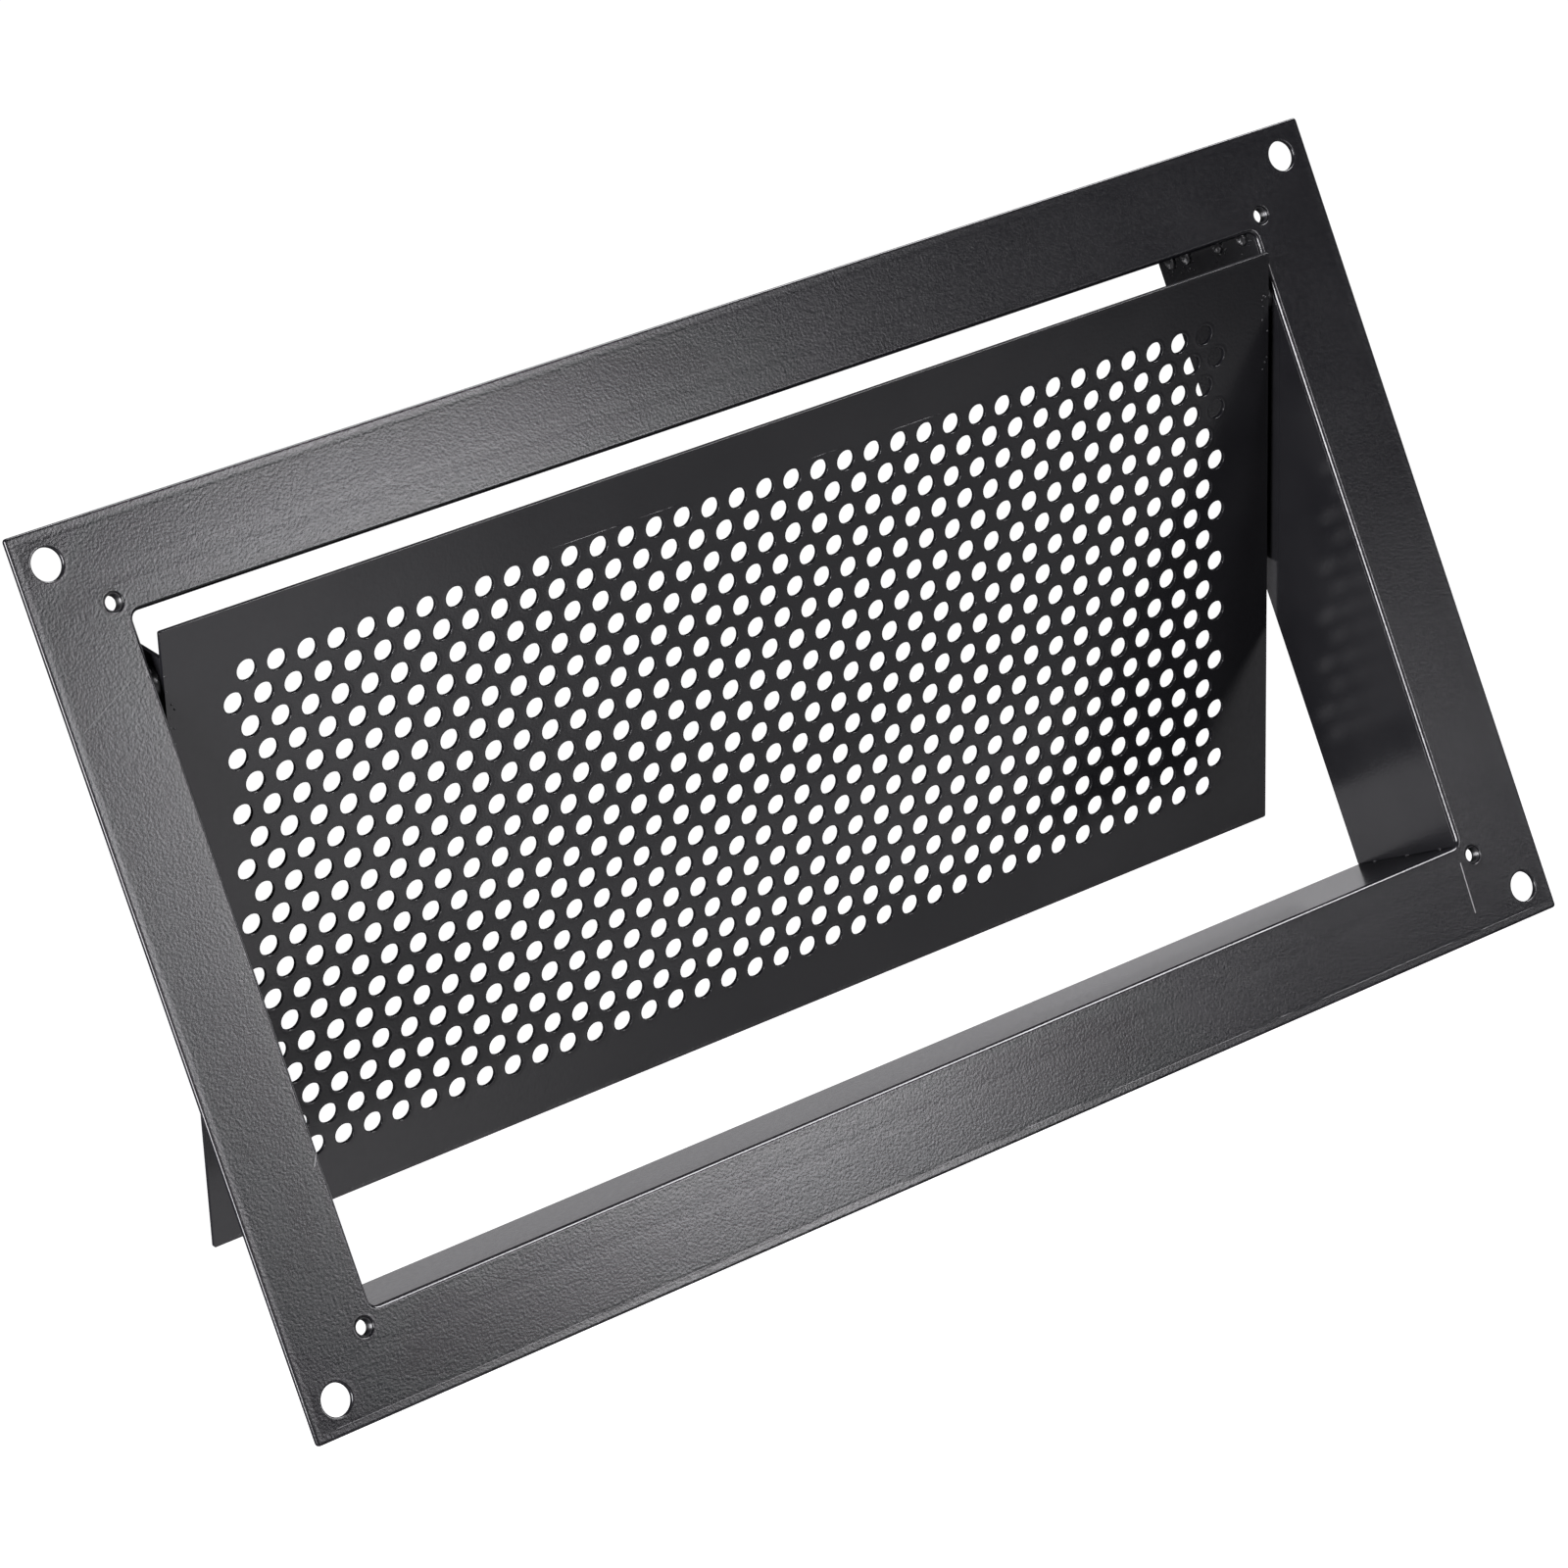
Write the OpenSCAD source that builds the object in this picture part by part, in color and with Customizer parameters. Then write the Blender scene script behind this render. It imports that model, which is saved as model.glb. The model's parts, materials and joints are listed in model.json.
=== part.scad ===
// Wall-mounted flood and air vent for a crawl space: a flat face plate with a sheet-steel
// sleeve behind its opening, and a perforated flap that swings on two rivets near its top.
// Millimetres. +X right, +Z up, the face looks towards -Y and the sleeve runs towards +Y.
// The origin is the centre of the four wall-screw holes, on the back of the face plate.

/* [Face plate] */
// Width of the face plate
face_w = 444.5; // [430:0.5:480]
// Height of the face plate
face_h = 247.65; // [240:0.05:280]
// Thickness of the face plate
face_t = 1.5; // [1:0.1:2.5]
// Width of the opening
opening_w = 389; // [370:0.5:395]
// Height of the opening
opening_h = 191.5; // [180:0.5:195]
// Radius of the opening's corners
opening_corner_r = 2.5; // [1:0.1:4]
// Diameter of the wall-screw holes
screw_hole_d = 9; // [5:0.1:10]
// Distance of the wall-screw holes from the plate's edges
screw_inset = 9.5; // [8:0.1:11]

/* [Sleeve] */
// Depth of the sleeve behind the face plate
sleeve_depth = 48; // [40:0.5:90]
// Thickness of the sleeve's walls
sleeve_t = 1.2; // [0.8:0.1:1.6]

/* [Cover nuts] */
// Distance of the nuts outside the opening's edges
nut_offset = 3.9; // [3.8:0.1:5]
// Diameter of the nuts' body
nut_d = 7.1; // [6.9:0.1:7.2]
// Length of the nuts behind the face plate
nut_h = 1.7; // [1.5:0.1:4]
// Diameter of the nuts' shank, inside the face plate
nut_shank_d = 5.4; // [4.5:0.1:5.8]
// Diameter of the nuts' threaded bore, for an M5 screw
nut_bore_d = 4.2; // [3:0.1:4.4]

/* [Flap] */
// Gap between the closed flap and the sides of the opening
side_gap = 2.5; // [2.3:0.1:3]
// Gap between the closed flap and the top and bottom of the opening
end_gap = 2.5; // [2.3:0.1:4]
// Thickness of the flap's sheet
flap_t = 1.2; // [0.8:0.1:1.5]
// How far the closed flap's front lies behind the face plate's front
flap_recess = 0.75; // [0:0.05:3]
// Angle at which the flap stands open, bottom edge inwards
open_angle = 28.5; // [0:0.5:90]

/* [Perforation] */
// Diameter of the holes
hole_d = 6.35; // [5:0.05:7]
// Distance between hole centres along a row
hole_pitch = 9.525; // [9:0.005:9.7]
// Rows of holes, an odd number
hole_rows = 19; // [9:2:21]
// Holes in the shorter rows; the rows between them have one more
row_holes = 36; // [20:1:36]

/* [Pivots] */
// Depth of the ears behind the flap's front face
ear_depth = 17; // [12:0.5:20]
// Thickness of the ears
ear_t = 1.5; // [1:0.1:2]
// Distance of the ears' upper ends from the flap's top edge
ear_top = 8; // [6:0.5:10]
// Distance of the ears' lower ends from the flap's top edge
ear_bottom = 102; // [40:1:120]
// Radius of the ears' free corners
ear_corner_r = 3; // [1:0.5:4]
// Distance of the pivot line below the flap's top edge
pivot_drop = 16; // [14:0.5:20]
// Distance of the pivot line behind the flap's front face
pivot_back = 6; // [5.5:0.1:8]
// Diameter of the rivets
rivet_d = 4.8; // [4:0.1:5]
// Radial clearance of the rivets in their holes
rivet_clearance = 0.05; // [0.02:0.01:0.1]
// Gap beside the ears, so that they turn freely
ear_play = 0.3; // [0.3:0.05:0.5]

/* [Hidden] */

$fn = 48;
LEFT = -1;
RIGHT = 1;
coat = [0.13, 0.13, 0.135];
coat_light = [0.22, 0.22, 0.23];

face_corner_r = 1;
screw_x = face_w / 2 - screw_inset;
screw_z = face_h / 2 - screw_inset;

// half sizes of the opening, which are the inner faces of the sleeve
in_x = opening_w / 2;
in_z = opening_h / 2;
nut_x = in_x + nut_offset;
nut_z = in_z + nut_offset;
nut_hole_clearance = 0.05;
nut_recess = 0.3;

// tack welds: places along the sleeve's depth, measured from the back of the face plate
inner_tack_y = [5.7, 18, 34, 42];
outer_tack_y = [8, 24, 40];
inner_tack_r = 1.8;
outer_tack_r = 1.5;
stitch_leg = 2;
stitch_len = 20;
stitch_x = [-150, -50, 50, 150];
stitch_z = [-50, 50];

// the flap in its closed, upright place
flap_x = in_x - side_gap;
flap_z = in_z - end_gap;
flap_front = flap_recess - face_t;
flap_back = flap_front + flap_t;
row_pitch = hole_pitch * sin(60);
bead_leg = 2;
bead_len = 12;
bead_drop = [31, 60, 90];

// the pivot line runs along X through this point
pivot_y = flap_front + pivot_back;
pivot_z = flap_z - pivot_drop;
rivet_hole_r = rivet_d / 2 + rivet_clearance;
rivet_head_r = 4.75;
rivet_head_h = 2;
rivet_tail_r = 3.6;
rivet_tail_h = 1.6;
washer_r = 5;
tail_washer_r = 4.5;
tail_washer_t = 1;
ear_inner_x = flap_x - ear_t;
washer_x = flap_x + ear_play;
tail_washer_x = ear_inner_x - ear_play;
wall_outer_x = in_x + sleeve_t;

// ---------- shapes that repeat ----------

// a rectangle centred on the origin, with true round corners
module rounded_rect(w, h, r) {
  square([w - 2 * r, h], center = true);
  square([w, h - 2 * r], center = true);
  for (sx = [-1, 1], sz = [-1, 1])
    translate([sx * (w / 2 - r), sz * (h / 2 - r)]) circle(r);
}

// stands a flat outline drawn in X and Z upright, from y = front to y = front + t
module upright(front, t) {
  translate([0, front + t, 0]) rotate([90, 0, 0]) linear_extrude(t) children();
}

// a round bar along X, from x = from_x to x = to_x on one side, on the pivot line
module on_pivot(side, from_x, to_x, r) {
  translate([side * from_x, pivot_y, pivot_z]) rotate([0, side * 90, 0]) cylinder(h = to_x - from_x, r = r);
}

// swings what is drawn in the closed flap's place about the pivot line, to where it stands open
module swung_open() {
  translate([0, pivot_y, pivot_z]) rotate([open_angle, 0, 0]) translate([0, -pivot_y, -pivot_z]) children();
}

// a three-cornered weld fillet along Z, in the corner between +X and +Y
module fillet_bar(leg, len) {
  translate([0, 0, -len / 2]) linear_extrude(len) polygon([[0, 0], [leg, 0], [0, leg]]);
}

// ---------- face plate and sleeve ----------

module face_plate() {
  color(coat) upright(-face_t, face_t) difference() {
    rounded_rect(face_w, face_h, face_corner_r);
    rounded_rect(opening_w, opening_h, opening_corner_r);
    for (sx = [-1, 1], sz = [-1, 1]) {
      translate([sx * screw_x, sz * screw_z]) circle(d = screw_hole_d);
      translate([sx * nut_x, sz * nut_z]) circle(d = nut_shank_d + 2 * nut_hole_clearance);
    }
  }
}

// the top and bottom walls run over the ends of the side walls
module level_wall(sz) {
  color(coat_light) translate([-wall_outer_x, 0, sz > 0 ? in_z : -in_z - sleeve_t])
    cube([2 * wall_outer_x, sleeve_depth, sleeve_t]);
}

// a side wall, with the rivet's hole near its top and front
module side_wall(side) {
  color(coat_light) difference() {
    translate([side > 0 ? in_x : -wall_outer_x, 0, -in_z]) cube([sleeve_t, sleeve_depth, opening_h]);
    on_pivot(side, in_x - 1, wall_outer_x + 1, rivet_hole_r);
  }
}

// tack welds: inside the two upper corners, and outside over the two lower seams
module corner_tacks() {
  color(coat_light) for (side = [LEFT, RIGHT]) {
    for (y = inner_tack_y)
      intersection() {
        translate([side * in_x, y, in_z]) sphere(inner_tack_r);
        translate([side > 0 ? in_x - 5 : -in_x, y - 5, in_z - 5]) cube([5, 10, 5]);
      }
    for (y = outer_tack_y)
      intersection() {
        translate([side * wall_outer_x, y, -in_z]) sphere(outer_tack_r);
        translate([side > 0 ? wall_outer_x : -wall_outer_x - 5, y - 5, -in_z - sleeve_t]) cube([5, 10, 5]);
      }
  }
}

// stitch welds in the corner between the face plate's back and the outside of the sleeve
module stitch_welds() {
  color(coat_light) {
    for (x = stitch_x, sz = [-1, 1])
      translate([x, 0, sz * (in_z + sleeve_t)]) mirror([0, 0, sz > 0 ? 0 : 1]) rotate([0, -90, 0])
        fillet_bar(stitch_leg, stitch_len);
    for (side = [LEFT, RIGHT], z = stitch_z)
      translate([side * wall_outer_x, 0, z]) mirror([side > 0 ? 0 : 1, 0, 0])
        fillet_bar(stitch_leg, stitch_len);
  }
}

// four clinch nuts behind the face plate, for the screws of a cover
module cover_nuts() {
  color(coat_light) for (sx = [-1, 1], sz = [-1, 1])
    translate([sx * nut_x, 0, sz * nut_z]) rotate([-90, 0, 0]) difference() {
      union() {
        cylinder(h = nut_h, d = nut_d);
        translate([0, 0, nut_recess - face_t]) cylinder(h = face_t, d = nut_shank_d);
      }
      translate([0, 0, -face_t - 1]) cylinder(h = nut_h + face_t + 2, d = nut_bore_d);
    }
}

// ---------- flap ----------

// staggered rows of round holes, centred on the origin
module hole_field() {
  for (row = [0 : hole_rows - 1]) {
    holes = row_holes + row % 2;
    for (i = [0 : holes - 1])
      translate([(i - (holes - 1) / 2) * hole_pitch, (row - (hole_rows - 1) / 2) * row_pitch])
        circle(d = hole_d, $fn = 24);
  }
}

module flap_panel() {
  color(coat) swung_open() upright(flap_front, flap_t) difference() {
    square([2 * flap_x, 2 * flap_z], center = true);
    hole_field();
  }
}

// an ear: a strip on edge behind the flap's side, which turns on the rivet
module flap_ear(side) {
  depth = ear_depth - flap_t;
  len = ear_bottom - ear_top;
  color(coat_light) swung_open() difference() {
    translate([side > 0 ? ear_inner_x : -flap_x, flap_back, flap_z - ear_bottom])
      rotate([90, 0, 90]) linear_extrude(ear_t) {
        square([depth - ear_corner_r, len]);
        translate([0, ear_corner_r]) square([depth, len - 2 * ear_corner_r]);
        for (z = [ear_corner_r, len - ear_corner_r]) translate([depth - ear_corner_r, z]) circle(ear_corner_r);
      }
    on_pivot(side, ear_inner_x - 1, flap_x + 1, rivet_hole_r);
  }
}

// weld beads inside the corners between the ears and the panel's back
module weld_beads() {
  color(coat_light) swung_open() for (side = [LEFT, RIGHT], drop = bead_drop)
    translate([side * ear_inner_x, flap_back, flap_z - drop]) mirror([side > 0 ? 1 : 0, 0, 0])
      fillet_bar(bead_leg, bead_len);
}

// ---------- pivots ----------

// a rivet from inside the ear to outside the sleeve: clinched tail, shank and domed head
module pivot_rivet(side) {
  tail_x = tail_washer_x - tail_washer_t - rivet_tail_h;
  grip = wall_outer_x - tail_x;
  dome_r = (rivet_head_r * rivet_head_r + rivet_head_h * rivet_head_h) / (2 * rivet_head_h);
  color(coat_light) translate([side * tail_x, pivot_y, pivot_z]) rotate([0, side * 90, 0]) rotate_extrude() {
    square([rivet_tail_r, rivet_tail_h]);
    square([rivet_d / 2, grip + rivet_head_h / 2]);
    intersection() {
      translate([0, grip + rivet_head_h - dome_r]) circle(dome_r);
      translate([0, grip]) square([rivet_head_r + 1, rivet_head_h + 1]);
    }
  }
}

// a plain washer on the rivet
module washer(side, from_x, to_x, r) {
  color(coat_light) difference() {
    on_pivot(side, from_x, to_x, r);
    on_pivot(side, from_x - 1, to_x + 1, rivet_hole_r);
  }
}

face_plate();
side_wall(LEFT);  // sleeve_wall_left
side_wall(RIGHT);  // sleeve_wall_right
level_wall(1);  // sleeve_wall_top
level_wall(-1);  // sleeve_wall_bottom
corner_tacks();  // sleeve_corner_tacks
stitch_welds();  // sleeve_stitch_welds
cover_nuts();
flap_panel();
flap_ear(LEFT);  // flap_ear_left
flap_ear(RIGHT);  // flap_ear_right
weld_beads();  // flap_weld_beads
pivot_rivet(LEFT);  // pivot_rivet_left
pivot_rivet(RIGHT);  // pivot_rivet_right
washer(LEFT, washer_x, in_x, washer_r);  // spacer_washer_left
washer(RIGHT, washer_x, in_x, washer_r);  // spacer_washer_right
washer(LEFT, tail_washer_x - tail_washer_t, tail_washer_x, tail_washer_r);  // tail_washer_left
washer(RIGHT, tail_washer_x - tail_washer_t, tail_washer_x, tail_washer_r);  // tail_washer_right
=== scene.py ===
"""A wall-mounted flood and air vent in black powder-coated steel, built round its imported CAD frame.

Metres. +X is to the right, +Z up, and the face plate looks towards -Y. The face plate, the flap, the
nuts and the welds are meshes that stand for their CAD nodes. The sleeve's walls, the ears, the rivets
and the washers are the CAD nodes themselves, with their edges rounded.
"""

import json
import math
import random

import bmesh
import bpy
from mathutils import Matrix, Vector, noise
from mathutils.geometry import tessellate_polygon


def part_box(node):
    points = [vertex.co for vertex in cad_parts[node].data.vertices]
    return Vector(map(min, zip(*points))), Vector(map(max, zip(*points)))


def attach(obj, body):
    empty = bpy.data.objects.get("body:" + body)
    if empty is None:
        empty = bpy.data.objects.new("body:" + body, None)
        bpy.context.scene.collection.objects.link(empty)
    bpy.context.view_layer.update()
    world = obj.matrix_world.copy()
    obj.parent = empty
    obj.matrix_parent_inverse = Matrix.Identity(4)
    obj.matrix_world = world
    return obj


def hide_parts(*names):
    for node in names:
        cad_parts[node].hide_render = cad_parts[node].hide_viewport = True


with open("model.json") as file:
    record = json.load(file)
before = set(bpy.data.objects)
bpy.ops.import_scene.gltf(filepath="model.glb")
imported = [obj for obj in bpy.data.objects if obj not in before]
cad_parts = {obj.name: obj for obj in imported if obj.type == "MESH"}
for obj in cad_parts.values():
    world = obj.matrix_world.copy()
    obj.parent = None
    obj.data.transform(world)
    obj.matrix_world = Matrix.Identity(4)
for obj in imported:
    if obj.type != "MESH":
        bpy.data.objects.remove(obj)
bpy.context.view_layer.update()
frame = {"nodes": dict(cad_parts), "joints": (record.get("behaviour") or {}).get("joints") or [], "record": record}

MM = 0.001
LEFT, RIGHT = -1, 1

# ---------- sizes, from the frame ----------

MOUNTS = {mount["name"]: mount for mount in frame["record"]["mounts"]}
HINGE = frame["joints"][0]
PLATE_LOW, PLATE_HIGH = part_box("face_plate")
FLAP_LOW, FLAP_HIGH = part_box("flap_panel")
OPENING_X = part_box("sleeve_wall_right")[0].x
OPENING_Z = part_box("sleeve_wall_top")[0].z
OUTSIDE_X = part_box("sleeve_wall_right")[1].x
OUTSIDE_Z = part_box("sleeve_wall_top")[1].z


def screw_pattern(name):
    """A mount's hole radius, and where its four holes are as (x, z)."""
    dims = MOUNTS[name]["dims"]
    x, z = dims["spacing_x_mm"] * MM / 2, dims["spacing_y_mm"] * MM / 2
    return dims["hole_r_mm"] * MM, [(sx * x, sz * z) for sx in (LEFT, RIGHT) for sz in (-1, 1)]


WALL_SCREW_R, WALL_SCREWS = screw_pattern("wall_screws")
COVER_SCREW_R, COVER_SCREWS = screw_pattern("cover_screws")

# the flap turns as far to either side of closed, so the middle of its range is the closed place
OPEN_ANGLE = -math.radians(sum(HINGE["range_deg"]) / 2)
FLAP_T = 1.2 * MM
FLAP_X = FLAP_HIGH.x
FLAP_LENGTH = (FLAP_HIGH.z - FLAP_LOW.z - FLAP_T * math.sin(OPEN_ANGLE)) / math.cos(OPEN_ANGLE)
FLAP_TOP = Vector((0, FLAP_LOW.y, FLAP_HIGH.z - FLAP_T * math.sin(OPEN_ANGLE)))
FLAP_DOWN = Vector((0, math.sin(OPEN_ANGLE), -math.cos(OPEN_ANGLE)))
FLAP_BACK = Vector((0, math.cos(OPEN_ANGLE), math.sin(OPEN_ANGLE)))

# ---------- sizes of the looks ----------

PLATE_CORNER_R = 1 * MM
OPENING_CORNER_R = 2.5 * MM
FLAP_CORNER_R = 0.6 * MM
LEAST_CORNER_R = 0.1 * MM
BORDER_STEP = 8 * MM
CORNER_STEPS = 6

# how each edge of a sheet is rolled: its radius in front, how far in the coat stands higher and by how
# much, its radius at the back, and the steps of each arc
PLATE_EDGE = (0.4 * MM, 2.4 * MM, 0.045 * MM, 0.3 * MM, 4)
OPENING_EDGE = (1.15 * MM, 1.6 * MM, 0.002 * MM, 0.3 * MM, 8)
WALL_SCREW_EDGE = (0.4 * MM, 1.6 * MM, 0.0135 * MM, 0.3 * MM, 4)
COVER_SCREW_EDGE = (0.3 * MM, 1.2 * MM, 0.0135 * MM, 0.3 * MM, 4)
FLAP_EDGE = (0.12 * MM, 1.0 * MM, 0.015 * MM, 0.12 * MM, 4)
PERFORATION_EDGE = (0.15 * MM, 1.2 * MM, 0.03 * MM, 0.1 * MM, 3)
# a sheet's face belongs to a cut edge where less than this share of its normal points out of the sheet
CUT_STEEPNESS = 0.3

# how the CAD nodes are welded, flattened and rounded, and how sharp a corner is rounded or creased
NODE_WELD = 0.002 * MM
NODE_FLATNESS = math.radians(0.5)
WALL_EDGE_R = 0.25 * MM
RIVET_EDGE_R = 0.3 * MM
WASHER_EDGE_R = 0.2 * MM
EDGE_SEGMENTS = 3
SHARP_CORNER = math.radians(35)

# the flap's perforation, and the thickness of coat inside each of its holes
HOLE_D = 6.35 * MM
HOLE_PITCH = 9.525 * MM
HOLE_ROWS = 19
ROW_HOLES = 36
COAT_T = 0.12 * MM
HOLE_STEPS = 24
SCREW_HOLE_STEPS = 64

# the clinch nuts: the plate's hole, the gap round the shank, the chamfers, and the thread
NUT_HOLE_R = 2.75 * MM
NUT_GAP = 0.05 * MM
NUT_CHAMFER = 0.2 * MM
MOUTH_WIDTH = 0.3 * MM
MOUTH_DEPTH = 0.4 * MM
THREAD_PITCH = 0.8 * MM
THREAD_DEPTH = 0.3 * MM

# the tacks in the upper corners, and over the lower seams, by their distance behind the plate
INNER_TACKS = [5.7 * MM, 18 * MM, 34 * MM, 42 * MM]
OUTER_TACKS = [8 * MM, 24 * MM, 40 * MM]
INNER_TACK_R = 1.8 * MM
OUTER_TACK_R = 1.5 * MM
SAGGED = (1, 1.4, 2.0)
TACK_EMBED = 0.5 * MM

# a tack's body and lumps, its crater and the crater's rim, in shares of its radius and in radians
TACK_BODY, TACK_LUMPS, TACK_FINE_LUMPS = 0.86, 0.11, 0.05
CRATER_DEPTH, CRATER_REACH = 0.30, 0.62
RIM_HEIGHT, RIM_LEAN, RIM_WIDTH = 0.06, 0.75, 0.2

# spatter under the inner tacks: how far below the corner, its reach back and up, and its drops
CORNER_SPATTER = (3.4 * MM, 4 * MM, 1.8 * MM, 5)
# spatter on the flap's front: how far down and in from the side, its reach down and across, its drops
FLAP_SPATTER = (24 * MM, 1.5 * MM, 13 * MM, 1.1 * MM, 9)
DROP_R_MM = (0.2, 0.38)

# the stitch welds by their middles along the sleeve's walls, and the beads by their drop down the ears
STITCH_X = [-150 * MM, -50 * MM, 50 * MM, 150 * MM]
STITCH_Z = [-50 * MM, 50 * MM]
STITCH_LENGTH = 20 * MM
BEAD_DROPS = [31 * MM, 60 * MM, 90 * MM]
BEAD_LENGTH = 12 * MM
WELD_LEG = 2 * MM

# a bead's ripples and lumps, its narrow ends and how fast they widen along it, how much flatter than
# round its face is, and its steps
WELD_RIPPLE = 1.6 * MM
BEAD_LUMP = 2 * MM
BEAD_BODY, BEAD_RIPPLES, BEAD_LUMPS = 0.85, 0.11, 0.04
END_WIDTH, END_SLOPE = 0.35, 5
BEAD_FLATNESS = 0.18
BEAD_RINGS = 60
BEAD_ARC_STEPS = 10

# the coat: its cloudiness, its uneven gloss, and the lumps of the orange-peel by size and depth
CLOUD_SIZE = 30 * MM
GLOSS_SIZE = 1.6 * MM
GLOSS_SPREAD = 0.12
PEEL = [(0.8 * MM, 0.04 * MM), (2.6 * MM, 0.006 * MM)]
# the middle part of a noise's range, which is spread over the whole of a look's
NOISE_LOW, NOISE_HIGH = 0.3, 0.7

# the worn marks on the face: from, to, width and how light, in millimetres across and up from the middle
FACE_SCRATCHES = [
    ((193, -100.5), (192.5, -116), 0.35, 0.2),
    ((-146, 120), (-148, 113), 0.5, 0.001),
    ((-201, 79), (-219, 70), 0.15, 0.02),
    ((-194.6, -52), (-197, -56), 0.3, 0.12),
]

# ---------- camera, in metres, with its lens in millimetres ----------

CAMERA_TARGET = Vector((-0.0214, 0, -0.0067))
CAMERA_DISTANCE = 1.6145
CAMERA_AZIMUTH = math.radians(32.25)
CAMERA_ELEVATION = math.radians(3.66)
CAMERA_ROLL = math.radians(18.72)
CAMERA_LENS = 134.45


def make_camera():
    """The camera stands to the left of the plate and looks to the right, rolled clockwise."""
    level = math.cos(CAMERA_ELEVATION)
    forward = Vector(
        (math.sin(CAMERA_AZIMUTH) * level, math.cos(CAMERA_AZIMUTH) * level, -math.sin(CAMERA_ELEVATION))
    )
    turn = (-forward).to_track_quat("Z", "Y").to_matrix() @ Matrix.Rotation(-CAMERA_ROLL, 3, "Z")
    data = bpy.data.cameras.new("camera")
    data.lens = CAMERA_LENS
    camera = bpy.data.objects.new("camera", data)
    camera.matrix_world = Matrix.Translation(CAMERA_TARGET - forward * CAMERA_DISTANCE) @ turn.to_4x4()
    bpy.context.scene.collection.objects.link(camera)
    bpy.context.scene.camera = camera


# ---------- stage ----------

FLOOR_Z = PLATE_LOW.z - 0.35
FLOOR_SIZE = 30
WORLD_WHITE = 1.05
LIGHT_TINT = (0.98, 0.965, 1.0)
ROOM_LIGHT = 0.04

# where each soft light stands, its width and height, how many degrees it leans to the left, and its watts
SOFTBOXES = {
    "key": ((0.77, -1.5, -0.105), (0.22, 0.54), 22.5, 4.3),
    "key_halo": ((0.72, -1.5, -0.08), (0.5, 0.5), 22.5, 2.0),
    "low_right": ((1.4, -1.5, -0.25), (0.12, 0.15), 0, 0.3),
    "front_left": ((-1.9, -0.4, 0.2), (1.8, 1.2), 0, 160),
    "overhead": ((1.05, -1.0, 1.35), (1.3, 0.9), 0, 70),
    "floor_left": ((0.08, -0.6, -0.9), (0.9, 0.8), 0, 2.4),
    "floor_right": ((0.8, -0.5, -1.0), (0.5, 0.5), 0, 0.35),
    "back_right": ((1.4, 2.1, 0.25), (1.2, 0.8), 0, 1.35),
    "back_left": ((-1.6, 1.8, -0.45), (1.4, 0.8), 0, 2.2),
    "front": ((0, -3.2, -0.15), (1.8, 1.0), 0, 4.5),
    "right": ((2.3, -0.3, 0), (1.8, 1.0), 0, 12),
    "side_left": ((-1.3, -1.3, -0.8), (1.4, 1.1), 0, 4.5),
    "side_low": ((-1.25, 0, -1.5), (1.2, 1.0), 0, 4),
    "rear_right": ((1.45, 1.4, -0.6), (1.3, 0.9), 0, 3.0),
    "rear_high": ((1.6, 1.5, 0.75), (1.0, 0.6), 0, 3.0),
    "rear_left": ((-1.3, 1.3, 0.85), (0.9, 0.7), 0, 1.6),
}
# these are only seen as reflections, mostly from the sides and from behind
MIRRORED_ONLY = ("front", "right", "side_left", "side_low", "rear_right", "rear_high", "rear_left")


def softbox(name, place, size, lean, power):
    """A soft rectangular light that looks at the middle of the object."""
    data = bpy.data.lights.new(name, "AREA")
    data.shape = "RECTANGLE"
    data.size, data.size_y = size
    data.energy = power
    data.color = LIGHT_TINT
    light = bpy.data.objects.new(name, data)
    light.location = place
    light.rotation_euler = (-Vector(place)).to_track_quat("-Z", "Y").to_euler()
    light.rotation_euler.rotate_axis("Z", math.radians(lean))
    light.visible_camera = False
    light.visible_diffuse = name not in MIRRORED_ONLY
    bpy.context.scene.collection.objects.link(light)


def make_world():
    """White behind the object, and a dim even room for what the coat mirrors."""
    world = bpy.data.worlds.new("room")
    world.use_nodes = True
    nodes, links = world.node_tree.nodes, world.node_tree.links
    nodes.clear()
    seen = nodes.new("ShaderNodeBackground")
    seen.inputs["Color"].default_value = (1, 1, 1, 1)
    seen.inputs["Strength"].default_value = WORLD_WHITE
    room = nodes.new("ShaderNodeBackground")
    room.inputs["Color"].default_value = (*LIGHT_TINT, 1)
    room.inputs["Strength"].default_value = ROOM_LIGHT
    path = nodes.new("ShaderNodeLightPath")
    mix = nodes.new("ShaderNodeMixShader")
    out = nodes.new("ShaderNodeOutputWorld")
    links.new(path.outputs["Is Camera Ray"], mix.inputs["Fac"])
    links.new(room.outputs["Background"], mix.inputs[1])
    links.new(seen.outputs["Background"], mix.inputs[2])
    links.new(mix.outputs["Shader"], out.inputs["Surface"])
    bpy.context.scene.world = world


def make_floor():
    """A white floor below the object, which lights nothing and isn't mirrored in the coat."""
    mesh = bpy.data.meshes.new("floor")
    half = FLOOR_SIZE / 2
    corners = [(x * half, y * half, FLOOR_Z) for x, y in ((-1, -1), (1, -1), (1, 1), (-1, 1))]
    mesh.from_pydata(corners, [], [(0, 1, 2, 3)])
    floor = bpy.data.objects.new("floor", mesh)
    floor.visible_glossy = False
    floor.visible_diffuse = False
    bpy.context.scene.collection.objects.link(floor)
    material = bpy.data.materials.new("pale_floor")
    material.use_nodes = True
    shader = material.node_tree.nodes["Principled BSDF"]
    shader.inputs["Base Color"].default_value = (0.85, 0.85, 0.85, 1)
    shader.inputs["Roughness"].default_value = 0.9
    shader.inputs["Emission Color"].default_value = (1, 1, 1, 1)
    shader.inputs["Emission Strength"].default_value = 1.0
    mesh.materials.append(material)


# ---------- materials ----------


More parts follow.
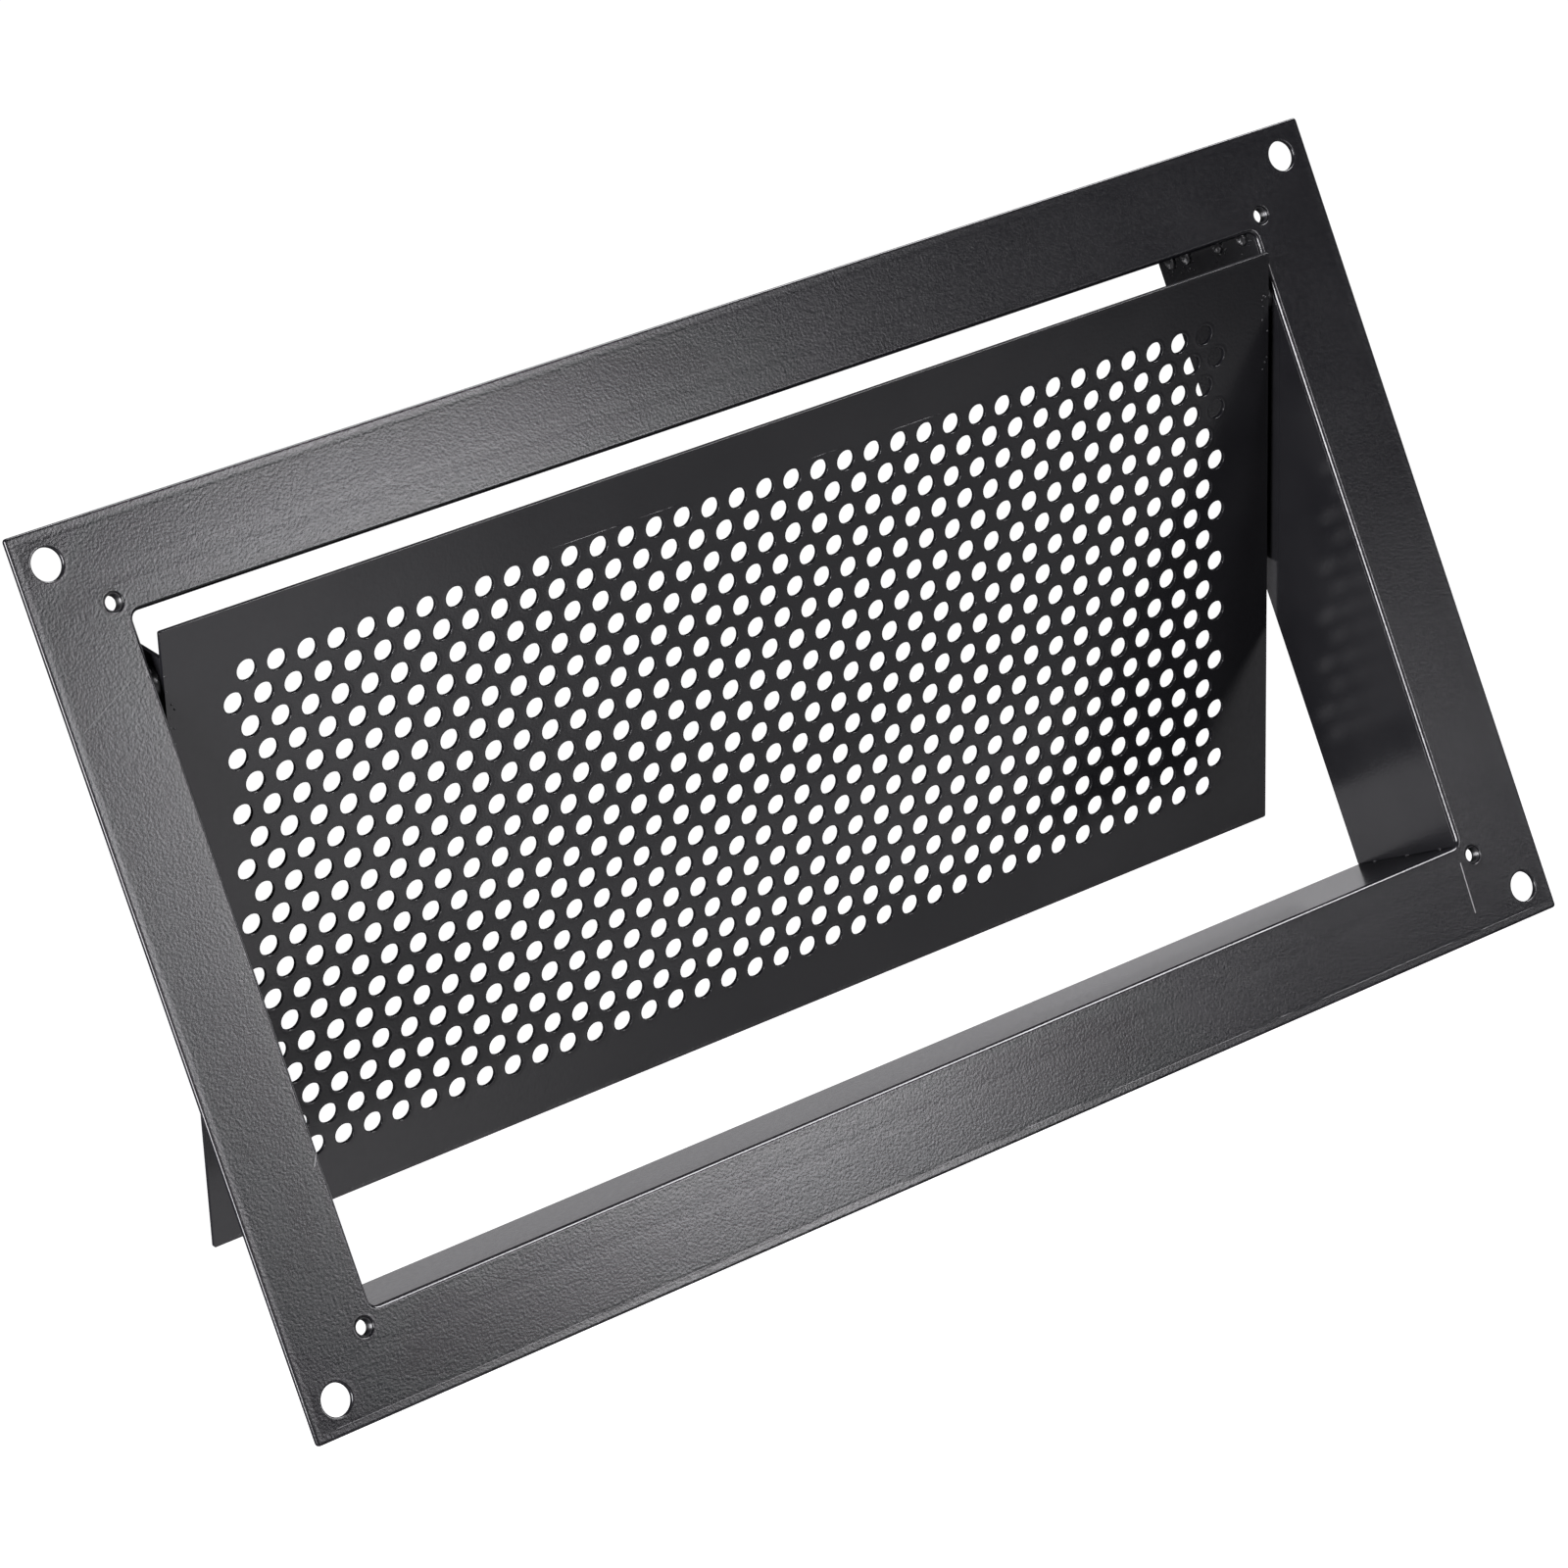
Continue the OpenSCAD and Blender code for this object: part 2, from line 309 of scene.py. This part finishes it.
def new_node(material, kind, **values):
    """A shader node with some inputs set. An underscore in a name stands for a space."""
    node = material.node_tree.nodes.new(kind)
    for name, value in values.items():
        node.inputs[name.replace("_", " ")].default_value = value
    return node


def noise_field(material, place, size, detail=2.0):
    """A noise whose lumps are about size across, from 0 to 1."""
    node = new_node(material, "ShaderNodeTexNoise", Scale=1 / size, Detail=detail)
    material.node_tree.links.new(place, node.inputs["Vector"])
    return node.outputs["Fac"]


def spread(material, value, low, high):
    """A noise's value, spread over low to high."""
    node = new_node(
        material, "ShaderNodeMapRange", From_Min=NOISE_LOW, From_Max=NOISE_HIGH, To_Min=low, To_Max=high
    )
    material.node_tree.links.new(value, node.inputs["Value"])
    return node.outputs["Result"]


def math_node(material, operation, *values):
    """The result of a Math node, each of whose inputs is a number or another node's output."""
    node = new_node(material, "ShaderNodeMath")
    node.operation = operation
    for socket, value in zip(node.inputs, values):
        if isinstance(value, (int, float)):
            socket.default_value = value
        else:
            material.node_tree.links.new(value, socket)
    return node.outputs["Value"]


def within(material, place, direction, middle, reach):
    """1 where the distance along a direction is within reach of the middle, else 0."""
    dot = new_node(material, "ShaderNodeVectorMath")
    dot.operation = "DOT_PRODUCT"
    material.node_tree.links.new(place, dot.inputs[0])
    dot.inputs[1].default_value = direction
    return math_node(material, "COMPARE", dot.outputs["Value"], middle, reach)


def scratch(material, place, start, end, width):
    """1 on a fine line between two points of the plate's front, else 0. All in millimetres."""
    start, end = Vector((start[0], 0, start[1])) * MM, Vector((end[0], 0, end[1])) * MM
    along = (end - start).normalized()
    across = along.cross((0, 1, 0))
    middle = (start + end) / 2
    length = (end - start).length
    on_length = within(material, place, along, middle.dot(along), length / 2)
    on_width = within(material, place, across, middle.dot(across), width * MM / 2)
    return math_node(material, "MULTIPLY", on_length, on_width)


def blend_colour(material, factor, first, second):
    """A mix of two colours, each a colour or another node's output."""
    mix = material.node_tree.nodes.new("ShaderNodeMix")
    mix.data_type = "RGBA"
    material.node_tree.links.new(factor, mix.inputs["Factor"])
    for name, colour in (("A", first), ("B", second)):
        if isinstance(colour, tuple):
            mix.inputs[name].default_value = (*colour, 1)
        else:
            material.node_tree.links.new(colour, mix.inputs[name])
    return mix.outputs["Result"]


def powder_coat(name, dark, light, roughness, peel, scratches=(), shine=0.5):
    """Black powder coat with orange-peel, a slight cloudiness, uneven gloss and any scratches."""
    material = bpy.data.materials.new(name)
    material.use_nodes = True
    links = material.node_tree.links
    shader = material.node_tree.nodes["Principled BSDF"]
    shader.inputs["IOR"].default_value = 1.5
    shader.inputs["Specular IOR Level"].default_value = shine
    place = material.node_tree.nodes.new("ShaderNodeTexCoord").outputs["Object"]

    cloud = noise_field(material, place, CLOUD_SIZE)
    colour = blend_colour(material, spread(material, cloud, 0, 1), dark, light)
    for start, end, width, shade in scratches:
        mask = scratch(material, place, start, end, width)
        colour = blend_colour(material, mask, colour, (shade, shade, shade))
    links.new(colour, shader.inputs["Base Color"])

    gloss = noise_field(material, place, GLOSS_SIZE, 4)
    low, high = roughness * (1 - GLOSS_SPREAD), roughness * (1 + GLOSS_SPREAD)
    links.new(spread(material, gloss, low, high), shader.inputs["Roughness"])

    bump = None
    for size, depth in PEEL:
        lumps = noise_field(material, place, size)
        next_bump = new_node(material, "ShaderNodeBump", Distance=depth * peel)
        links.new(lumps, next_bump.inputs["Height"])
        if bump:
            links.new(bump.outputs["Normal"], next_bump.inputs["Normal"])
        bump = next_bump
    links.new(bump.outputs["Normal"], shader.inputs["Normal"])
    return material


# each slot's darkest and lightest colour, roughness, and how deep its orange-peel is
LOOKS = {
    "face_coat": ((0.003, 0.003, 0.004), (0.006, 0.006, 0.007), 0.21, 1.0, FACE_SCRATCHES),
    "sleeve_coat": ((0.006, 0.006, 0.007), (0.010, 0.010, 0.011), 0.18, 0.7),
    "flap_coat": ((0.006, 0.006, 0.007), (0.009, 0.009, 0.010), 0.2, 0.6),
    "weld_coat": ((0.010, 0.010, 0.011), (0.016, 0.016, 0.017), 0.3, 2.0),
    "hardware_coat": ((0.007, 0.007, 0.008), (0.011, 0.011, 0.012), 0.3, 0.6),
}
COATS = {name: powder_coat(name, *look) for name, look in LOOKS.items()}
# the coat is duller on the cut edges of the face plate and the flap
CUT_LOOK = ((0.004, 0.004, 0.005), (0.008, 0.008, 0.009), 0.35, 1.0)
CUT_COAT = powder_coat("cut_edge_coat", *CUT_LOOK, shine=0.04)


# ---------- mesh helpers ----------


def rounded_outline(half_x, half_y, radius, grow):
    """A rectangular edge's shape at any inset. grow is 1 if it grows with the inset, -1 if it shrinks."""
    side_steps = [max(2, round(2 * (half - radius) / BORDER_STEP)) for half in (half_x, half_y)]

    def shape(inset):
        turn_r = max(radius + grow * inset, LEAST_CORNER_R)
        reach = Vector((half_x + grow * inset - turn_r, half_y + grow * inset - turn_r))
        points = []
        for index, (sx, sy) in enumerate([(1, 1), (-1, 1), (-1, -1), (1, -1)]):
            centre = Vector((sx * reach.x, sy * reach.y))
            for i in range(CORNER_STEPS + 1):
                angle = math.radians(90 * (index + i / CORNER_STEPS))
                points.append(centre + turn_r * Vector((math.cos(angle), math.sin(angle))))
            side = Vector((0, -2 * sy * reach.y)) if index % 2 else Vector((-2 * sx * reach.x, 0))
            count = side_steps[index % 2]
            points += [points[-1] + side * i / count for i in range(1, count)]
        return points

    return shape


def circle_outline(x, y, radius, steps):
    """A round hole's shape at any inset."""

    def shape(inset):
        angles = [2 * math.pi * i / steps for i in range(steps)]
        r = radius + inset
        return [Vector((x + r * math.cos(angle), y + r * math.sin(angle))) for angle in angles]

    return shape


def rolled_edge(thickness, front_r, reach, swell, back_r, arc_steps):
    """The section of a sheet's edge, as (inset, height) from the back's flat round to the front's.

    Powder coat gathers along an edge, so the front stands swell higher there and sinks to the flat at reach.
    """
    half = thickness / 2
    # the first and the last point lie a little way in on the flats
    section = [(back_r * 1.3, -half)]
    for i in range(arc_steps + 1):
        angle = math.radians(90 * i / arc_steps)
        section.append((back_r * (1 - math.sin(angle)), -half + back_r * (1 - math.cos(angle))))
    for i in range(arc_steps + 1):
        angle = math.radians(90 * i / arc_steps)
        section.append((front_r * (1 - math.cos(angle)), half - front_r * (1 - math.sin(angle))))
    for i in range(1, arc_steps + 1):
        share = i / arc_steps
        fall = swell * (1 - math.cos(math.pi * share)) / 2
        section.append((front_r + (reach - front_r) * share, half - fall))
    section.append((reach * 1.05, half - swell))
    return section


def finished(name, solid):
    """The smoothly shaded mesh of a bmesh, which is freed."""
    for face in solid.faces:
        face.smooth = True
    mesh = bpy.data.meshes.new(name)
    solid.to_mesh(mesh)
    solid.free()
    return mesh


def sheet(name, edges):
    """A flat sheet round the origin in X and Y, front up, bounded by edges of (shape, section).

    The faces of its cut edges take its second material.
    """
    solid = bmesh.new()
    back, front = [], []
    for shape, section in edges:
        rings = [[solid.verts.new((*point, height)) for point in shape(inset)] for inset, height in section]
        for low, high in zip(rings, rings[1:]):
            for i in range(len(low)):
                solid.faces.new((low[i - 1], low[i], high[i], high[i - 1]))
        back.append(rings[0])
        front.append(rings[-1])
    for rings in (back, front):
        flat = [vert for ring in rings for vert in ring]
        for triangle in tessellate_polygon([[vert.co / MM for vert in ring] for ring in rings]):
            solid.faces.new([flat[i] for i in triangle])
    bmesh.ops.recalc_face_normals(solid, faces=solid.faces)
    for face in solid.faces:
        face.material_index = int(abs(face.normal.z) < CUT_STEEPNESS)
    return finished(name, solid)


def piece(name, mesh, body, slot, *nodes):
    """Shows a mesh as a piece of the object, on a CAD body, in place of the CAD nodes that it replaces."""
    shown = bpy.data.objects.new(name, mesh)
    bpy.context.scene.collection.objects.link(shown)
    mesh.materials.append(COATS[slot])
    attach(shown, body)
    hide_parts(*nodes)
    return shown


def soften(node, radius):
    """Rounds the edges of a CAD node and gives it its coat."""
    shown = frame["nodes"][node]
    slot = next(part["material_slot"] for part in frame["record"]["subparts"] if part["node"] == node)
    shown.data.materials.clear()
    shown.data.materials.append(COATS[slot])
    weld = shown.modifiers.new("weld", "WELD")
    weld.merge_threshold = NODE_WELD
    flat = shown.modifiers.new("flat", "DECIMATE")
    flat.decimate_type = "DISSOLVE"
    flat.angle_limit = NODE_FLATNESS
    bevel = shown.modifiers.new("edges", "BEVEL")
    bevel.width = radius
    bevel.segments = EDGE_SEGMENTS
    bevel.angle_limit = SHARP_CORNER
    bevel.harden_normals = True


def lathe(name, profile, steps=48):
    """A ring turned about Z from a closed outline of (radius, height)."""
    solid = bmesh.new()
    ring = [solid.verts.new((r, 0, h)) for r, h in profile]
    edges = [solid.edges.new((a, b)) for a, b in zip(ring, ring[1:] + ring[:1])]
    turn = {"cent": (0, 0, 0), "axis": (0, 0, 1), "angle": 2 * math.pi, "steps": steps}
    bmesh.ops.spin(solid, geom=ring + edges, use_merge=True, **turn)
    bmesh.ops.remove_doubles(solid, verts=solid.verts, dist=0.001 * MM)
    bmesh.ops.recalc_face_normals(solid, faces=solid.faces)
    return finished(name, solid)


def join(name, parts):
    """One mesh of several (mesh, matrix) pairs."""
    solid = bmesh.new()
    for part, place in parts:
        copy = part.copy()
        copy.transform(place)
        if place.determinant() < 0:
            copy.flip_normals()
        solid.from_mesh(copy)
    return finished(name, solid)


# ---------- face plate ----------


def make_face_plate():
    """The plate with its opening and screw holes, drawn lying down and then stood upright."""
    thickness = PLATE_HIGH.y - PLATE_LOW.y
    outline = rounded_outline(PLATE_HIGH.x, PLATE_HIGH.z, PLATE_CORNER_R, -1)
    opening = rounded_outline(OPENING_X, OPENING_Z, OPENING_CORNER_R, 1)
    edges = [
        (outline, rolled_edge(thickness, *PLATE_EDGE)),
        (opening, rolled_edge(thickness, *OPENING_EDGE)),
    ]
    for screws, radius, roll in (
        (WALL_SCREWS, WALL_SCREW_R, WALL_SCREW_EDGE),
        (COVER_SCREWS, NUT_HOLE_R, COVER_SCREW_EDGE),
    ):
        section = rolled_edge(thickness, *roll)
        edges += [(circle_outline(x, z, radius, SCREW_HOLE_STEPS), section) for x, z in screws]
    mesh = sheet("face_sheet", edges)
    middle = Matrix.Translation((0, (PLATE_LOW.y + PLATE_HIGH.y) / 2, 0))
    mesh.transform(middle @ Matrix.Rotation(math.radians(90), 4, "X"))
    piece("face_sheet", mesh, "frame", "face_coat", "face_plate")
    mesh.materials.append(CUT_COAT)


# ---------- flap ----------


def flap_holes():
    """The edges of the perforation, in staggered rows that hold one hole more in every second row."""
    section = rolled_edge(FLAP_T, *PERFORATION_EDGE)
    row_pitch = HOLE_PITCH * math.sin(math.radians(60))
    edges = []
    for row in range(HOLE_ROWS):
        holes = ROW_HOLES + row % 2
        y = (row - (HOLE_ROWS - 1) / 2) * row_pitch
        for i in range(holes):
            x = (i - (holes - 1) / 2) * HOLE_PITCH
            edges.append((circle_outline(x, y, HOLE_D / 2 - COAT_T, HOLE_STEPS), section))
    return edges


def flap_place():
    """From the flap's flat sheet, drawn in X and Y, to where the flap stands open."""
    centre = FLAP_TOP + FLAP_DOWN * FLAP_LENGTH / 2 + FLAP_BACK * FLAP_T / 2
    axes = Matrix((Vector((1, 0, 0)), -FLAP_DOWN, -FLAP_BACK)).transposed()
    return Matrix.Translation(centre) @ axes.to_4x4()


def make_flap():
    """The perforated sheet, at the angle at which the photograph shows it."""
    outline = rounded_outline(FLAP_X, FLAP_LENGTH / 2, FLAP_CORNER_R, -1)
    edges = [(outline, rolled_edge(FLAP_T, *FLAP_EDGE))]
    mesh = sheet("flap_sheet", edges + flap_holes())
    mesh.transform(flap_place())
    piece("flap_sheet", mesh, "flap", "flap_coat", "flap_panel")
    mesh.materials.append(CUT_COAT)


# ---------- cover nuts ----------


def make_cover_nuts():
    """Clinch nuts with a chamfered mouth and a threaded bore."""
    low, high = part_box("cover_nuts")
    body_r = high.x - max(x for x, z in COVER_SCREWS)
    shank_r = NUT_HOLE_R - NUT_GAP
    depth = high.y - low.y
    shank = depth - high.y
    profile = [(COVER_SCREW_R + MOUTH_WIDTH, 0), (shank_r - NUT_CHAMFER, 0), (shank_r, NUT_CHAMFER)]
    profile += [(shank_r, shank), (body_r - NUT_CHAMFER, shank), (body_r, shank + NUT_CHAMFER)]
    profile += [(body_r, depth - NUT_CHAMFER), (body_r - NUT_CHAMFER, depth)]
    height = depth
    while height - THREAD_PITCH > MOUTH_DEPTH:
        profile += [(COVER_SCREW_R, height), (COVER_SCREW_R + THREAD_DEPTH, height - THREAD_PITCH / 2)]
        height -= THREAD_PITCH
    profile.append((COVER_SCREW_R, MOUTH_DEPTH))
    nut = lathe("nut", profile)
    along = Matrix.Rotation(math.radians(-90), 4, "X")
    places = [Matrix.Translation((x, low.y, z)) @ along for x, z in COVER_SCREWS]
    mesh = join("threaded_nuts", [(nut, place) for place in places])
    shown = piece("threaded_nuts", mesh, "frame", "hardware_coat", "cover_nuts")
    split = shown.modifiers.new("creases", "EDGE_SPLIT")
    split.split_angle = SHARP_CORNER


# ---------- welds ----------


def tack(centre, radius, towards, seed, shape=(1, 1, 1)):
    """A frozen drop of weld metal: a lumpy ball with a crater in the side turned towards a direction."""
    solid = bmesh.new()
    bmesh.ops.create_icosphere(solid, subdivisions=5, radius=1)
    towards = Vector(towards).normalized()
    # the seed gives each tack another part of the noise
    for vert in solid.verts:
        lump = noise.noise(vert.co * 1.9 + Vector((seed * 3.1, seed * 1.3, seed * 0.7)))
        fine = noise.noise(vert.co * 6 + Vector((seed, seed * 2.3, seed * 5.1)))
        lean = vert.co.angle(towards)
        crater = CRATER_DEPTH * max(0, 1 - (lean / CRATER_REACH) ** 2)
        rim = RIM_HEIGHT * math.exp(-(((lean - RIM_LEAN) / RIM_WIDTH) ** 2))
        vert.co *= radius * (TACK_BODY + TACK_LUMPS * lump + TACK_FINE_LUMPS * fine - crater + rim)
        vert.co = Vector(a * b for a, b in zip(vert.co, shape))
    return finished("tack", solid), Matrix.Translation(centre)


def spatter(centre, along, across, count, seed):
    """Small drops of weld metal, scattered on a face as far as along and across to either side."""
    dice = random.Random(seed)
    drops = []
    for i in range(count):
        place = centre + along * dice.uniform(-1, 1) + across * dice.uniform(-1, 1)
        drops.append(tack(place, dice.uniform(*DROP_R_MM) * MM, (0, 0, 1), seed + i))
    return drops


def bead(length, leg, seed):
    """A weld fillet along Z in the corner between +X and +Y, with ripples and tapered ends."""
    solid = bmesh.new()
    sections = []
    for i in range(BEAD_RINGS + 1):
        along = i / BEAD_RINGS
        height = length * (along - 0.5)
        taper = min(1, END_WIDTH + END_SLOPE * min(along, 1 - along))
        wave = abs(math.sin(math.pi * height / WELD_RIPPLE + seed))
        lump = noise.noise(Vector((seed, 0, height / BEAD_LUMP)))
        size = leg * taper * (BEAD_BODY + BEAD_RIPPLES * wave + BEAD_LUMPS * lump)
        section = [solid.verts.new((0, 0, height))]
        for k in range(BEAD_ARC_STEPS + 1):
            angle = math.radians(90 * k / BEAD_ARC_STEPS)
            bulge = size * (1 - BEAD_FLATNESS * math.sin(2 * angle))
            section.append(solid.verts.new((bulge * math.cos(angle), bulge * math.sin(angle), height)))
        sections.append(section)
    for low, high in zip(sections, sections[1:]):
        for k in range(len(low)):
            solid.faces.new((low[k - 1], low[k], high[k], high[k - 1]))
    solid.faces.new(sections[0])
    solid.faces.new(sections[-1])
    bmesh.ops.recalc_face_normals(solid, faces=solid.faces)
    return finished("bead", solid)


def corner_frame(corner, first, second):
    """Stands a bead in a corner, its two legs along the directions first and second."""
    along = first.cross(second)
    return Matrix.Translation(corner) @ Matrix((first, second, along)).transposed().to_4x4()


def inner_tack(corner, side, seed):
    """A sagging tack in an upper corner of the sleeve, kept from coming out through the walls."""
    drop, place = tack(corner, INNER_TACK_R, (-side, -0.4, -0.5), seed, SAGGED)
    for vert in drop.vertices:
        vert.co.x = side * min(side * vert.co.x, TACK_EMBED)
        vert.co.z = min(vert.co.z, TACK_EMBED)
    return drop, place


def make_corner_tacks():
    """The tacks inside the sleeve's upper corners with their spatter, and those over its lower seams."""
    drop, back, up, count = CORNER_SPATTER
    tacks = []
    for side in (LEFT, RIGHT):
        for i, y in enumerate(INNER_TACKS):
            corner = Vector((side * OPENING_X, y, OPENING_Z))
            tacks.append(inner_tack(corner, side, 3 * i + side))
            below = corner - Vector((0, 0, drop))
            tacks += spatter(below, Vector((0, back, 0)), Vector((0, 0, up)), count, 10 * i + side)
        for i, y in enumerate(OUTER_TACKS):
            corner = Vector((side * OUTSIDE_X, y, -OPENING_Z))
            tacks.append(tack(corner, OUTER_TACK_R, (side, 0, -1), 5 * i + side + 20))
    piece("corner_tacks", join("corner_tacks", tacks), "frame", "weld_coat", "sleeve_corner_tacks")


def make_stitch_beads():
    """The stitch welds between the outside of the sleeve and the plate's back."""
    stitches = []
    back = Vector((0, 1, 0))
    for side in (LEFT, RIGHT):
        for i, x in enumerate(STITCH_X):
            place = corner_frame(Vector((x, 0, side * OUTSIDE_Z)), Vector((0, 0, side)), back)
            stitches.append((bead(STITCH_LENGTH, WELD_LEG, 2.1 * i + side), place))
        for i, z in enumerate(STITCH_Z):
            place = corner_frame(Vector((side * OUTSIDE_X, 0, z)), Vector((side, 0, 0)), back)
            stitches.append((bead(STITCH_LENGTH, WELD_LEG, 2.7 * i + side + 9), place))
    piece("stitch_beads", join("stitch_beads", stitches), "frame", "weld_coat", "sleeve_stitch_welds")


def make_ear_beads():
    """The beads between the ears and the flap's back, and the spatter on its front."""
    ear_low, ear_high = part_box("flap_ear_right")
    inner_x = FLAP_X - (ear_high.x - ear_low.x)
    down, inset, reach_down, reach_across, count = FLAP_SPATTER
    welds = []
    for side in (LEFT, RIGHT):
        for i, drop in enumerate(BEAD_DROPS):
            corner = FLAP_TOP + FLAP_DOWN * drop + FLAP_BACK * FLAP_T + Vector((side * inner_x, 0, 0))
            place = corner_frame(corner, Vector((-side, 0, 0)), FLAP_BACK)
            welds.append((bead(BEAD_LENGTH, WELD_LEG, 1.9 * i + side + 4), place))
        edge = FLAP_TOP + FLAP_DOWN * down + Vector((side * (FLAP_X - inset), 0, 0))
        welds += spatter(edge, FLAP_DOWN * reach_down, Vector((reach_across, 0, 0)), count, 31 + side)
    piece("ear_beads", join("ear_beads", welds), "flap", "weld_coat", "flap_weld_beads")


# ---------- the scene ----------

make_camera()
make_world()
make_floor()
for name, (place, size, lean, power) in SOFTBOXES.items():
    softbox(name, place, size, lean, power)
bpy.context.scene.view_settings.view_transform = "Standard"

make_face_plate()
make_flap()
make_cover_nuts()
for wall in ("left", "right", "top", "bottom"):
    soften("sleeve_wall_" + wall, WALL_EDGE_R)
for side in ("left", "right"):
    soften("flap_ear_" + side, WALL_EDGE_R)
    soften("pivot_rivet_" + side, RIVET_EDGE_R)
    soften("spacer_washer_" + side, WASHER_EDGE_R)
    soften("tail_washer_" + side, WASHER_EDGE_R)
make_corner_tacks()
make_stitch_beads()
make_ear_beads()
